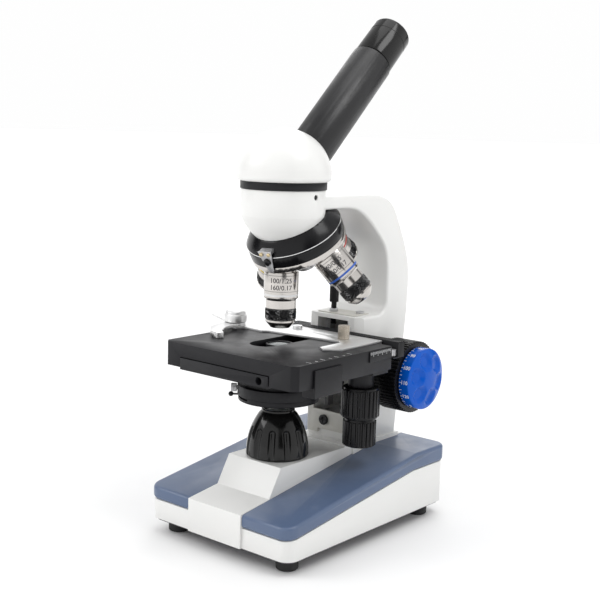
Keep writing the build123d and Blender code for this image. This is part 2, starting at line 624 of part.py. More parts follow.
def iris_ring():
    ring = pipe(22.3, 12.0, iris_z1 - 1.6, iris_z1 - 0.7)
    lever = block(-32.5, -21.0, -1.2, 1.2, iris_z1 - 1.6, iris_z1 - 0.7)
    knob = Pos(-33.5, 0, iris_z1 - 1.15) * Sphere(1.8)
    return ring + Rot(0, 0, 40) * (lever + knob)


# ---------------------------------------------------------------- nosepiece

def nose_place():
    return Pos(0, 0, apex_z) * Rot(nose_tilt, 0, 0)


def nose_swing():
    """The room under the fixed dome that the turning part of the nosepiece needs."""
    return nose_place() * post(nose_r + 0.3, -60.0, -dome_edge_h + 0.3)


def nosepiece_dome():
    dome = ThreePointArc((8.0, -5.0), (26.6, -13.4), (nose_r, -dome_edge_h))
    rest = Polyline((nose_r, -dome_edge_h), (30.4, -dome_edge_h), (30.4, -27.6), (0, -27.6), (0, -5.0),
                    (8.0, -5.0))
    wire = Wire.combine([edge for part in (dome, rest) for edge in part.edges()])[0]
    return revolve(Plane.XZ * Face(wire), Axis.Z)


def nosepiece_body():
    body = nose_place() * nosepiece_dome()
    body = body - (head_body() - nose_swing()) - (arm_shape() - nose_swing())
    body = body - post(head_bore_r, 150, 240)
    body = body - nose_place() * post(3.0, -80, 0)
    return max(body.solids(), key=lambda solid: solid.volume)


def objective_place(number):
    return (Pos(0, 0, apex_z) * Rot(nose_tilt, 0, 0) * Rot(0, 0, 360.0 * number / objective_count)
            * Rot(-nose_tilt, 0, 0) * Pos(0, 0, -apex_z))


def turret_disc():
    centre_h = rim_h1 + (nose_r - 8.0) * math.tan(math.radians(nose_tilt))
    disc = turned([(0, -28.2), (30.6, -28.2), (30.6, -rim_h0), (nose_r, -rim_h0), (nose_r, -rim_h1),
                   (8.0, -centre_h), (0, -centre_h)])
    body = nose_place() * (disc - post(4.0 + running_gap, -80, 0))
    for number in range(objective_count):
        body = body - objective_place(number) * post(10.1, 150, 240)
    return body


def turret_grip():
    """The smooth band that the user turns, with a bevelled upper edge."""
    top, bottom, bore_r = -dome_edge_h - 0.35, -rim_h0 + 0.05, 30.7
    band = turned([(bore_r, top), (nose_r - 0.8, top), (nose_r, top - 0.8), (nose_r, bottom + 0.3),
                   (nose_r - 0.3, bottom), (bore_r, bottom)])
    return nose_place() * band


def turret_axle():
    centre_h = rim_h1 + (nose_r - 8.0) * math.tan(math.radians(nose_tilt))
    pin = post(4.0, -centre_h - 0.3, -27.7) + post(2.9, -28.0, -14.0)
    head = post(7.5, -centre_h - 2.4, -centre_h - 0.3)
    return nose_place() * (pin + head)


def click_spring():
    """Tapered spring plate at the front of the nosepiece that stops each objective on the axis."""
    plate_y, plate_t2 = -nose_r - 0.9, 0.45
    tip = ThreePointArc((2.3, -32.4), (0, -34.7), (-2.3, -32.4))
    sides = Polyline((-2.3, -32.4), (-5.4, -17.2), (5.4, -17.2), (2.3, -32.4))
    wire = Wire.combine([edge for part in (tip, sides) for edge in part.edges()])[0]
    plate = Pos(0, plate_y, 0) * extrude(Plane.XZ * Face(wire), plate_t2, both=True)
    seat = Pos(0, plate_y + 2.2, -18.6) * Box(9.6, 4.4, 2.6) - nosepiece_dome()
    heads = [(-3.1, -19.4, 1.3, 0.9), (3.1, -19.4, 1.3, 0.9), (0, -25.2, 2.6, 1.5)]
    screws = [Pos(x, plate_y - plate_t2 - thick / 2, z) * Rot(90, 0, 0) * Cylinder(radius, thick)
              for x, z, radius, thick in heads]
    place = nose_place() * Rot(0, 0, click_angle)
    return joined(place * part for part in [plate + seat] + screws)


def objective_outline():
    thread = [(5.0, shoulder_z + 4.5), (9.95, shoulder_z + 4.5), (9.95, shoulder_z)]
    upper = [(objective_r - 0.3, shoulder_z), (objective_r, shoulder_z - 0.3),
             (objective_r, objective_step_z + 0.3)]
    lower = [(objective_step_r, objective_step_z - 1.0), (objective_step_r, grip_z1)]
    grip_seat = [(9.0, grip_z1), (9.0, grip_z0), (10.4, grip_z0), (10.4, grip_z0 - 1.6)]
    nose = [(6.8, tip_z), (3.2, tip_z), (5.0, tip_z + 2.4)]
    return thread + upper + lower + grip_seat + nose


def objective_parts():
    barrel = turned(objective_outline())
    grip = pipe(grip_r, 9.05, grip_z0 + 0.1, grip_z1 - 0.1)
    lens = turned([(0, tip_z + 0.2), (3.1, tip_z + 0.2), (4.7, tip_z + 2.3), (4.7, tip_z + 5.0),
                   (0, tip_z + 5.0)])
    places = [objective_place(number) for number in range(objective_count)]
    return [joined(place * part for place in places) for part in (barrel, grip, lens)]


# ---------------------------------------------------------------- eyepiece head

def tube_place():
    return Pos(0, 0, bend_z) * Rot(-(90.0 - tube_rise), 0, 0)


def dome_solid(wall):
    floor_z, lip_z, top_z, side_r = ring_z1 + 0.02 + wall, 253.2 + wall, dome_top_z - wall, dome_r - wall
    side = Polyline((0, floor_z), (29.6 - wall, floor_z))
    lip = ThreePointArc((29.6 - wall, floor_z), (31.8 - wall, 251.0 + wall * 0.3), (side_r, lip_z))
    band = Line((side_r, lip_z), (side_r, dome_band_z))
    cap = ThreePointArc((side_r, dome_band_z), (22.4 - wall * 0.7, 277.0 - wall * 0.7), (0, top_z))
    close = Line((0, top_z), (0, floor_z))
    wire = Wire.combine([edge for part in (side, lip, band, cap, close) for edge in part.edges()])[0]
    return revolve(Plane.XZ * Face(wire), Axis.Z)


def head_dome():
    body = dome_solid(0.0) - dome_solid(dome_wall) - post(14.0, 240, 258)
    return body - tube_place() * post(tube_r + 0.02, 10.0, 80.0)


def head_ring():
    ring = pipe(ring_r, 13.0, ring_z0, ring_z1) + pipe(20.0, 13.0, socket_z + 0.4, ring_z0 + 0.1)
    return ring - pipe(21.0, 17.6, 238.6, 241.6)


def eyepiece_tube():
    tube = pipe(tube_r, tube_bore_r, tube_s0 + 6.0, tube_s1)
    return tube_place() * tube - post(60, 230, ring_z1 + 3.0)


def prism():
    outline = [(-9.0, 253.4), (9.0, 253.4), (10.5, 262.0), (-2.0, 271.0), (-9.0, 268.0)]
    return side_profile(outline, 8.5)


def eyepiece_parts():
    rim = [(7.5, eyepiece_s1 - 1.2), (8.2, eyepiece_s1 - 0.4), (12.6, eyepiece_s1), (14.2, eyepiece_s1 - 0.8)]
    outside = [(eyepiece_r, eyepiece_s1 - 2.6), (eyepiece_r, tube_s1 + 2.0),
               (eyepiece_r - 0.6, tube_s1 + 0.3), (barrel_r, tube_s1 + 0.3), (barrel_r, barrel_s0)]
    bore = [(10.2, barrel_s0), (10.2, 152.0), (9.2, 152.0), (9.2, 160.0), (7.5, 160.0)]
    head = turned(rim + outside + bore)
    eye_lens = post(9.1, 153.0, 157.0) + (Pos(0, 0, 157.0 - 16.0) * Sphere(18.4) & post(7.4, 156.9, 163.0))
    field_lens = post(10.1, 100.0, 103.0) + (Pos(0, 0, 103.0 - 17.0) * Sphere(19.6) & post(10.1, 102.9, 110))
    return tube_place() * head, joined([tube_place() * eye_lens, tube_place() * field_lens])


# ---------------------------------------------------------------- lamp and power

def lamp_housing():
    side = Polyline((0, ridge_z), (lamp_r - 1.2, ridge_z))
    foot = ThreePointArc((lamp_r - 1.2, ridge_z), (lamp_r - 0.2, ridge_z + 0.6), (lamp_r, ridge_z + 2.0))
    bell = ThreePointArc((lamp_r, ridge_z + 2.0), (20.0, 74.0), (13.6, 87.2))
    neck = Polyline((13.6, 87.2), (lamp_top_r + 1.0, 88.2), (lamp_top_r, lamp_z), (0, lamp_z), (0, ridge_z))
    wire = Wire.combine([edge for part in (side, foot, bell, neck) for edge in part.edges()])[0]
    body = revolve(Plane.XZ * Face(wire), Axis.Z)
    for angle, x, y in ring_of(12, lamp_r + 1.6):
        flute = Pos(0, 0, 7.0) * Cylinder(2.6, 22.0) + Pos(0, 0, 18.0) * Sphere(2.6)
        body = body - Pos(x, y, ridge_z + 2.0) * Rot(0, 0, angle) * Rot(0, -13, 0) * flute
    return body - post(9.6, 60, 100) - post(17.0, 40, 66)


def lamp_lens():
    crown = Pos(0, 0, lamp_z - 21.6) * Sphere(22.9) & post(9.5, lamp_z - 0.7, 95)
    return post(9.5, 82.0, lamp_z - 0.6) + crown


def circuit_boards():
    lamp_board = post(9.0, 60.0, 61.6) + Pos(0, 0, 61.6) * Box(3.5, 3.5, 2.0)
    board = block(-30, 30, 62, 106, 18.0, 19.6)
    coil = block(-20, 2, 74, 96, 19.6, 31.0)
    chips = [block(-28, -22, y, y + 6, 19.6, 24.0) for y in (66, 78, 90)]
    legs = [post(2.0, base_z, 18.0, x, y) for x in (-26, 26) for y in (66, 102)]
    for part in [coil] + chips + legs:
        board = board + part
    control = block(-59.6, -51.0, 55.0, 65.0, base_z, 22.0) + post(1.5, 22.0, 27.5, dimmer_x, dimmer_y)
    return joined([lamp_board, board, control])


def power_socket():
    outer = block(-51.8, -36.2, base_rear_y - 7.0, base_rear_y + 0.8, 20.2, 31.8)
    bore = Pos(-44.0, base_rear_y, 26.0) * Rot(90, 0, 0) * Cylinder(3.4, 12.0)
    pin = Pos(-44.0, base_rear_y - 2.0, 26.0) * Rot(90, 0, 0) * Cylinder(0.9, 8.0)
    return outer - bore + pin + block(-51.8, -36.2, base_rear_y - 7.6, base_rear_y - 5.0, 20.2, 31.8)


def power_rocker():
    """Rocker of the mains switch, turning on a pin that is held in the base wall."""
    y = base_rear_y - pivot_depth
    rocker = block(32.0, 48.5, base_rear_y - 5.0, base_rear_y + 1.0, 20.2, 31.8)
    return (rocker & bar_x(6.4, 30.0, 50.0, y, switch_z)) + bar_x(pivot_r, 28.5, 52.0, y, switch_z)


def dimmer_wheel():
    wheel = ribbed(8.0, 0.5, 36, 4.4) - post(1.5 + running_gap, -1, 6)
    return Pos(dimmer_x, dimmer_y, 22.8) * wheel


def all_parts():
    left_cover, right_cover = cover_pair()
    upper_knob, lower_knob = stage_knobs()
    barrels, grips, lenses = objective_parts()
    eyepiece, eyepiece_lenses = eyepiece_parts()
    parts = {
        "base_body": base_body(), "base_cover_left": left_cover, "base_cover_right": right_cover,
        "bottom_plate": bottom_plate(), "rubber_feet": rubber_feet(), "machine_screws": machine_screws(),
        "arm": arm_casting(), "column_plate": column_plate(), "guide_cap": guide_cap(),
        "stop_screw": stop_screw(), "focus_bearings": focus_bearings(),
        "focus_carriage": focus_carriage(), "steel_racks": steel_racks(),
        "coarse_shaft": coarse_shaft(), "coarse_knobs": coarse_knobs(), "fine_shaft": fine_shaft(),
        "fine_knobs": fine_knobs(), "stage_carrier": stage_carrier(), "stage_plate": stage_plate(),
        "stage_scales": stage_scales(), "x_rail": x_rail(), "slide_holder": slide_holder(),
        "x_rack": x_rack(), "holder_fittings": holder_fittings(), "clip_spring": clip_spring(),
        "clip_lever": clip_lever(), "y_knob": upper_knob, "x_knob": lower_knob,
        "condenser_mount": condenser_mount(), "condenser_screw": condenser_screw(),
        "condenser_barrel": condenser_barrel(), "condenser_lenses": condenser_lenses(),
        "iris_cover": iris_cover(), "iris_ring": iris_ring(), "nosepiece_body": nosepiece_body(),
        "turret_axle": turret_axle(), "click_spring": click_spring(), "turret_disc": turret_disc(),
        "turret_grip": turret_grip(), "objective_barrels": barrels, "objective_grips": grips,
        "objective_lenses": lenses, "head_dome": head_dome(), "head_ring": head_ring(),
        "eyepiece_tube": eyepiece_tube(), "prism": prism(), "eyepiece_barrel": eyepiece,
        "eyepiece_lenses": eyepiece_lenses, "lamp_housing": lamp_housing(), "lamp_lens": lamp_lens(),
        "circuit_boards": circuit_boards(), "power_socket": power_socket(),
        "power_rocker": power_rocker(), "dimmer_wheel": dimmer_wheel(),
    }
    for number in range(leaf_count):
        parts[f"iris_leaf_{number + 1}"] = iris_leaf(number)
    return parts


os.makedirs("parts", exist_ok=True)
model = all_parts()
boxes = [part.bounding_box() for part in model.values()]
middle_x = (min(b.min.X for b in boxes) + max(b.max.X for b in boxes)) / 2
middle_y = (min(b.min.Y for b in boxes) + max(b.max.Y for b in boxes)) / 2
print(f"origin at x {middle_x:.3f}, y {middle_y:.3f} from the optical axis")
for name, part in model.items():
    export_step(Pos(-middle_x, -middle_y, 0) * part, f"parts/{name}.step")
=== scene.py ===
import bpy, bmesh, json, math
from mathutils import Matrix, Vector


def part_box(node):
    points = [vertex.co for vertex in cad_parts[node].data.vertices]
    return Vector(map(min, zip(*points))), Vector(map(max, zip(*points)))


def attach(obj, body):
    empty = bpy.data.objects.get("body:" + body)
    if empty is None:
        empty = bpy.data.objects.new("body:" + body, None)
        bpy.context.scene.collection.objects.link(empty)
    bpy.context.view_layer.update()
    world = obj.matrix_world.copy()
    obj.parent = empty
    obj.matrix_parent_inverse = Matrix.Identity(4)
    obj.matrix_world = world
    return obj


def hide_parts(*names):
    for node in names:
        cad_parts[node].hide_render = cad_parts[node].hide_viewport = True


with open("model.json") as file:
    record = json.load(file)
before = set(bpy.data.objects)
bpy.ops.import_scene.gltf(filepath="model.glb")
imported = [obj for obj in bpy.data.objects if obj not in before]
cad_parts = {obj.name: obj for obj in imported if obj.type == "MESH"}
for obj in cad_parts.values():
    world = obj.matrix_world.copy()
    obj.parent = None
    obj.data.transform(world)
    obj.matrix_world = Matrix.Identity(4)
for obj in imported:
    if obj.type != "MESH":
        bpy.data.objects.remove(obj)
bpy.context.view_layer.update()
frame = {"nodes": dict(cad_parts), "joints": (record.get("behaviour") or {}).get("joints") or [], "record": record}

mm = 0.001
cadNodes = frame["nodes"]
cadJoints = {joint["name"]: joint for joint in frame["joints"]}
bodies = frame["record"]["behaviour"]["bodies"]
nodeBody = {node: body for body, members in bodies.items() for node in members}


def middle(node):
    low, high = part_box(node)
    return (low + high) / 2


opticalAxis = Vector((middle("head_ring").x, middle("head_ring").y, 0.0))


# camera, floor and light

view = {
    "azimuth": 40.04, "elevation": 8.93, "roll": 1.57,   # degrees
    "lens": 66.594, "sensor": 36,   # mm
    "place": (0.50004, -0.57445, 0.28753),   # metres from the foot of the optical axis
}


def addCamera():
    turn, tilt, roll = (math.radians(view[key]) for key in ("azimuth", "elevation", "roll"))
    back = Vector((math.sin(turn) * math.cos(tilt), -math.cos(turn) * math.cos(tilt), math.sin(tilt)))
    level = Vector((math.cos(turn), math.sin(turn), 0.0))
    rise = back.cross(level)
    right = level * math.cos(roll) + rise * math.sin(roll)
    up = rise * math.cos(roll) - level * math.sin(roll)
    lens = bpy.data.cameras.new("camera")
    lens.lens = view["lens"]
    lens.sensor_width = view["sensor"]
    lens.clip_start = 0.01
    camera = bpy.data.objects.new("camera", lens)
    bpy.context.scene.collection.objects.link(camera)
    camera.matrix_world = Matrix.Translation(opticalAxis + Vector(view["place"])) @ Matrix(
        (right, up, back)).transposed().to_4x4()
    bpy.context.scene.camera = camera


studio = {
    "exposure": 0.08, "backdrop": 0.94,
    "sky": 1.0, "ceiling": 0.66, "ground": 0.42,   # brightness at the horizon, overhead and below
    # which of those holds where, from straight below (0) to overhead (1)
    "bands": [(0.0, "ground"), (0.46, "ground"), (0.49, "sky"), (0.66, "sky"), (1.0, "ceiling")],
    # dark strips, as parts of a turn round the set, their brightness, and how softly they start
    "flags": [(0.025, 0.075), (0.385, 0.445), (0.69, 0.735)], "flagShade": 0.04, "flagEdge": 0.02,
    "flagTop": 0.75, "flagFull": 0.35,   # the height where the strips end, and where they are full
    "fadeFrom": 0.25, "fadeTo": 1.6, "fadeGlow": 0.32,   # metres, metres, brightness
    "floorRadius": 30.0, "aim": (0, 0, 0.15),
    "lamps": [
        {"name": "keyLight", "place": (-0.9, -1.0, 1.2), "size": 0.9, "watts": 8.0},
        {"name": "topLight", "place": (0.1, 0.2, 1.6), "size": 0.9, "watts": 4.0},
        {"name": "tubeLight", "place": (0.62, 0.06, 1.05), "size": 0.42, "watts": 2.6},
        {"name": "rearLight", "place": (-0.8, 1.2, 0.9), "size": 0.8, "watts": 2.5}],
}


def addStudio():
    world = bpy.data.worlds.new("studio")
    bpy.context.scene.world = world
    world.use_nodes = True
    tree = world.node_tree
    direction = tree.nodes.new("ShaderNodeTexCoord").outputs["Generated"]
    split = linked(tree, "ShaderNodeSeparateXYZ", {"Vector": direction})
    height = linked(tree, "ShaderNodeMapRange", {"Value": split.outputs["Z"]}, From_Min=-1.0, From_Max=1.0)
    shade = linked(tree, "ShaderNodeValToRGB", {"Fac": height.outputs["Result"]})
    for number, (place, key) in enumerate(studio["bands"]):
        if number > 1:
            shade.color_ramp.elements.new(place)
        shade.color_ramp.elements[number].position = place
        shade.color_ramp.elements[number].color = (studio[key],) * 3 + (1,)
    # dark flags beside the set give the polished metal something to reflect
    around = tree.nodes.new("ShaderNodeTexGradient")
    around.gradient_type = "RADIAL"
    tree.links.new(direction, around.inputs["Vector"])
    flags = linked(tree, "ShaderNodeValToRGB", {"Fac": around.outputs["Fac"]})
    number = 0
    edge, dark = studio["flagEdge"], studio["flagShade"]
    for low, high in studio["flags"]:
        for place, value in ((low - edge, 1.0), (low, dark), (high, dark), (high + edge, 1.0)):
            if number > 1:
                flags.color_ramp.elements.new(place)
            flags.color_ramp.elements[number].position = place
            flags.color_ramp.elements[number].color = (value,) * 3 + (1,)
            number += 1
    reach = linked(tree, "ShaderNodeMapRange", {"Value": split.outputs["Z"]},
                   From_Min=studio["flagTop"], From_Max=studio["flagFull"])
    shaded = linked(tree, "ShaderNodeMix", {"Factor": reach.outputs["Result"]})
    shaded.data_type = "RGBA"
    shaded.blend_type = "MULTIPLY"
    tree.links.new(shade.outputs["Color"], shaded.inputs[6])
    tree.links.new(flags.outputs["Color"], shaded.inputs[7])
    # the backdrop itself stays plain
    path = tree.nodes.new("ShaderNodeLightPath")
    seen = linked(tree, "ShaderNodeMix", {"Factor": path.outputs["Is Camera Ray"]})
    seen.data_type = "RGBA"
    tree.links.new(shaded.outputs[2], seen.inputs[6])
    seen.inputs[7].default_value = (studio["backdrop"],) * 3 + (1,)
    tree.links.new(seen.outputs[2], tree.nodes["Background"].inputs["Color"])
    bpy.context.scene.view_settings.view_transform = "Standard"
    bpy.context.scene.view_settings.exposure = studio["exposure"]
    for lamp in studio["lamps"]:
        light = bpy.data.lights.new(lamp["name"], "AREA")
        light.energy = lamp["watts"]
        light.size = lamp["size"]
        holder = bpy.data.objects.new(lamp["name"], light)
        bpy.context.scene.collection.objects.link(holder)
        place = Vector(lamp["place"])
        holder.location = place
        holder.rotation_euler = (place - Vector(studio["aim"])).to_track_quat("Z", "Y").to_euler()
    bm = bmesh.new()
    bmesh.ops.create_circle(bm, cap_ends=True, radius=studio["floorRadius"], segments=64)
    mesh = bpy.data.meshes.new("floor")
    bm.to_mesh(mesh)
    floor = bpy.data.objects.new("floor", mesh)
    bpy.context.scene.collection.objects.link(floor)
    paper = finish("floorPaper")
    floor.data.materials.append(paper)
    # painted light: the paper glows more further out, so that it fades into the background
    tree = paper.node_tree
    shader = tree.nodes["Principled BSDF"]
    shader.inputs["Emission Color"].default_value = (1, 1, 1, 1)
    where = tree.nodes.new("ShaderNodeTexCoord").outputs["Object"]
    reach = tree.nodes.new("ShaderNodeVectorMath")
    reach.operation = "LENGTH"
    tree.links.new(where, reach.inputs[0])
    glow = linked(tree, "ShaderNodeMapRange", {"Value": reach.outputs["Value"]},
                  From_Min=studio["fadeFrom"], From_Max=studio["fadeTo"], To_Max=studio["fadeGlow"])
    glow.interpolation_type = "SMOOTHSTEP"
    tree.links.new(glow.outputs["Result"], shader.inputs["Emission Strength"])


# finishes: what each surface is made of

finishes = {
    # colour, how far it drifts, roughness, its drift, metal, grain size and depth in mm
    "whitePaint": {"colour": (0.79, 0.79, 0.775), "drift": 0.008, "rough": 0.34, "roughDrift": 0.03,
                   "grain": 0.8, "depth": 0.003, "coat": 0.15},
    "bluePaint": {"colour": (0.088, 0.130, 0.225), "drift": 0.04, "rough": 0.40, "roughDrift": 0.05,
                  "grain": 0.5, "depth": 0.010, "coat": 0.15},
    # the bottom plate's dark purple-grey is partly its own colour and partly painted shade from under the base
    "shadedPlatePaint": {"colour": (0.045, 0.038, 0.055), "drift": 0.06, "rough": 0.5, "roughDrift": 0.08,
                   "grain": 0.4, "depth": 0.015},
    "rubber": {"colour": (0.018, 0.018, 0.019), "drift": 0.15, "rough": 0.75, "roughDrift": 0.1,
               "grain": 0.3, "depth": 0.02},
    "stageBlack": {"colour": (0.009, 0.009, 0.011), "drift": 0.15, "rough": 0.42, "roughDrift": 0.05,
                   "grain": 0.5, "depth": 0.03, "sheen": 0.24},
    "columnPaint": {"colour": (0.60, 0.59, 0.545), "drift": 0.015, "rough": 0.38, "roughDrift": 0.04,
                    "grain": 0.7, "depth": 0.005},
    "tubeBlack": {"colour": (0.008, 0.008, 0.009), "drift": 0.15, "rough": 0.33, "roughDrift": 0.05,
                  "grain": 0.5, "depth": 0.08, "sheen": 0.45},
    "noseBlack": {"colour": (0.005, 0.005, 0.006), "drift": 0.15, "rough": 0.20, "roughDrift": 0.05,
                  "grain": 0.9, "depth": 0.012, "sheen": 0.25},
    "blackPlastic": {"colour": (0.006, 0.006, 0.007), "drift": 0.1, "rough": 0.27, "roughDrift": 0.06,
                     "grain": 0.5, "depth": 0.010, "sheen": 0.26},
    "glossBlack": {"colour": (0.005, 0.005, 0.005), "drift": 0.05, "rough": 0.14, "roughDrift": 0.04,
                   "grain": 1.2, "depth": 0.004, "sheen": 0.3, "coat": 0.12},
    "knurlBlack": {"colour": (0.008, 0.008, 0.009), "drift": 0.1, "rough": 0.16, "roughDrift": 0.05,
                   "grain": 0.5, "depth": 0.004, "sheen": 0.6},
    "bluePlastic": {"colour": (0.001, 0.088, 0.50), "drift": 0.05, "rough": 0.22, "roughDrift": 0.04,
                    "grain": 0.9, "depth": 0.005, "sheen": 0.18, "coat": 0.06},
    "chrome": {"colour": (0.47, 0.455, 0.44), "drift": 0.03, "rough": 0.16, "roughDrift": 0.05,
               "metal": 1.0, "grain": 0.5, "depth": 0.002},
    "barrelChrome": {"colour": (0.56, 0.535, 0.51), "drift": 0.03, "rough": 0.17, "roughDrift": 0.04,
                     "metal": 1.0, "grain": 0.12, "depth": 0.0015, "stretch": (0.05, 0.05, 1)},
    "steel": {"colour": (0.50, 0.49, 0.47), "drift": 0.05, "rough": 0.32, "roughDrift": 0.08,
              "metal": 1.0, "grain": 0.25, "depth": 0.006, "stretch": (1, 1, 14)},
    "aluminium": {"colour": (0.74, 0.74, 0.75), "drift": 0.03, "rough": 0.30, "roughDrift": 0.07,
                  "metal": 1.0, "grain": 0.2, "depth": 0.006, "stretch": (0.06, 1, 1)},
    "brass": {"colour": (0.60, 0.54, 0.44), "drift": 0.06, "rough": 0.28, "roughDrift": 0.08,
              "metal": 1.0, "grain": 0.3, "depth": 0.006},
    "paleBrass": {"colour": (0.56, 0.51, 0.44), "drift": 0.05, "rough": 0.26, "roughDrift": 0.06,
                  "metal": 1.0, "grain": 0.3, "depth": 0.004},
    "boardGreen": {"colour": (0.02, 0.12, 0.05), "drift": 0.1, "rough": 0.4, "roughDrift": 0.1,
                   "grain": 0.8, "depth": 0.01},
    "markWhite": {"colour": (0.82, 0.83, 0.84), "drift": 0.02, "rough": 0.5, "roughDrift": 0.05,
                  "grain": 0.3, "depth": 0.004},
    "markBlack": {"colour": (0.02, 0.02, 0.025), "drift": 0.05, "rough": 0.5, "roughDrift": 0.05,
                  "grain": 0.3, "depth": 0.004},
    "ringBlue": {"colour": (0.03, 0.10, 0.42), "drift": 0.04, "rough": 0.35, "roughDrift": 0.05,
                 "grain": 0.4, "depth": 0.004},
    "ringWhite": {"colour": (0.80, 0.80, 0.80), "drift": 0.03, "rough": 0.35, "roughDrift": 0.05,
                  "grain": 0.4, "depth": 0.004},
    "ringRed": {"colour": (0.45, 0.03, 0.02), "drift": 0.04, "rough": 0.35, "roughDrift": 0.05,
                "grain": 0.4, "depth": 0.004},
    "ringYellow": {"colour": (0.62, 0.45, 0.04), "drift": 0.04, "rough": 0.35, "roughDrift": 0.05,
                   "grain": 0.4, "depth": 0.004},
    "floorPaper": {"colour": (0.90, 0.90, 0.90), "drift": 0.004, "rough": 0.75, "roughDrift": 0.04,
                   "grain": 3.0, "depth": 0.01},
    "glass": {"colour": (0.95, 0.98, 1.0), "drift": 0.01, "rough": 0.03, "roughDrift": 0.01,
              "grain": 2.0, "depth": 0.0, "clear": 1.0},
}


def linked(tree, kind, feeds, **values):
    node = tree.nodes.new(kind)
    for socket, value in values.items():
        node.inputs[socket.replace("_", " ")].default_value = value
    for socket, source in feeds.items():
        tree.links.new(source, node.inputs[socket.replace("_", " ")])
    return node


surface = {"coatRough": 0.08, "cloudScale": 28.0, "smearScale": 90.0, "bump": 0.6}   # scales are per metre


def finish(name):
    if name in bpy.data.materials:
        return bpy.data.materials[name]
    look = finishes[name]
    paint = bpy.data.materials.new(name)
    paint.use_nodes = True
    tree = paint.node_tree
    shader = tree.nodes["Principled BSDF"]
    shader.inputs["Metallic"].default_value = look.get("metal", 0.0)
    shader.inputs["Coat Weight"].default_value = look.get("coat", 0.0)
    shader.inputs["Coat Roughness"].default_value = surface["coatRough"]
    shader.inputs["Specular IOR Level"].default_value = look.get("sheen", 0.5)
    shader.inputs["Transmission Weight"].default_value = look.get("clear", 0.0)
    where = tree.nodes.new("ShaderNodeTexCoord").outputs["Object"]
    # broad drift of the colour
    cloud = linked(tree, "ShaderNodeTexNoise", {"Vector": where}, Scale=surface["cloudScale"], Detail=3.0)
    tint = linked(tree, "ShaderNodeValToRGB", {"Fac": cloud.outputs["Fac"]})
    tint.color_ramp.elements[0].position = 0.3
    tint.color_ramp.elements[1].position = 0.7
    for stop, factor in zip(tint.color_ramp.elements, (1.0 - look["drift"], 1.0 + look["drift"])):
        stop.color = (*(min(part * factor, 1.0) for part in look["colour"]), 1)
    tree.links.new(tint.outputs["Color"], shader.inputs["Base Color"])
    # handling marks change the roughness a little
    smear = linked(tree, "ShaderNodeTexNoise", {"Vector": where}, Scale=surface["smearScale"], Detail=5.0)
    rough, drift = look["rough"], look["roughDrift"]
    spread = linked(tree, "ShaderNodeMapRange", {"Value": smear.outputs["Fac"]}, From_Min=0.3, From_Max=0.7,
                    To_Min=max(rough - drift, 0.01), To_Max=rough + drift)
    tree.links.new(spread.outputs["Result"], shader.inputs["Roughness"])
    if look["depth"] == 0.0:
        return paint
    # fine grain of the surface
    place = linked(tree, "ShaderNodeMapping", {"Vector": where}, Scale=look.get("stretch", (1, 1, 1)))
    grain = linked(tree, "ShaderNodeTexNoise", {"Vector": place.outputs["Vector"]},
                   Scale=1.0 / (look["grain"] * mm), Detail=2.0)
    bump = linked(tree, "ShaderNodeBump", {"Height": grain.outputs["Fac"]},
                  Strength=surface["bump"], Distance=look["depth"] * mm)
    tree.links.new(bump.outputs["Normal"], shader.inputs["Normal"])
    return paint


# making and placing pieces

weld = {"cad": 1e-6, "made": 1e-7, "flat": 0.4}   # metres, metres, degrees
slotOfNode = {part["node"]: part["material_slot"] for part in frame["record"]["subparts"]}
slotOfFinish = {
    "markWhite": "white_paint", "markBlack": "black_plastic",
    "ringWhite": "white_paint", "ringBlue": "blue_plastic", "ringRed": "white_paint", "ringYellow": "brass",
    "chrome": "chrome", "glossBlack": "gloss_black",
}


def addPiece(name, bm, finishName, body, stands=(), rounding=0.0, sharpAngle=32):
    mesh = bpy.data.meshes.new(name)
    bm.to_mesh(mesh)
    bm.free()
    piece = bpy.data.objects.new(name, mesh)
    bpy.context.scene.collection.objects.link(piece)
    mesh.materials.append(finish(finishName))
    mesh.shade_smooth()
    if rounding:
        edge = piece.modifiers.new("edges", "BEVEL")
        edge.width = rounding * mm
        edge.segments = 2
        edge.limit_method = "ANGLE"
        edge.angle_limit = math.radians(sharpAngle)
        edge.harden_normals = True
        edge.miter_outer = "MITER_ARC"
        edge.use_clamp_overlap = True
    else:
        mesh.set_sharp_from_angle(angle=math.radians(sharpAngle))
    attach(piece, body)
    slotOfNode[stands[0]] if stands else slotOfFinish[finishName]
    if stands:
        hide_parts(*stands)
    return piece


def roundedCopy(node, finishName, rounding, sharpAngle=32):
    bm = bmesh.new()
    bm.from_mesh(cadNodes[node].data)
    bmesh.ops.remove_doubles(bm, verts=bm.verts, dist=weld["cad"])
    bmesh.ops.dissolve_limit(bm, angle_limit=math.radians(weld["flat"]), verts=bm.verts, edges=bm.edges)
    return addPiece(node + "Finished", bm, finishName, nodeBody[node], (node,), rounding, sharpAngle)


def islandsOf(bm):
    # the loose pieces of a mesh, as (centre, faces)
    waiting = set(bm.faces)
    while waiting:
        island, edge = set(), [waiting.pop()]
        while edge:
            face = edge.pop()
            island.add(face)
            for other in (link for side in face.edges for link in side.link_faces):
                if other in waiting:
                    waiting.discard(other)
                    edge.append(other)
        yield sum((face.calc_center_median() for face in island), Vector()) / len(island), island


def repaint(piece, finishName, chosen):
    # gives a finish to the loose pieces whose centre passes the test
    bm = bmesh.new()
    bm.from_mesh(piece.data)
    piece.data.materials.append(finish(finishName))
    slotNumber = len(piece.data.materials) - 1
    for centre, island in islandsOf(bm):
        if chosen(centre):
            for face in island:
                face.material_index = slotNumber
    bm.to_mesh(piece.data)
    bm.free()


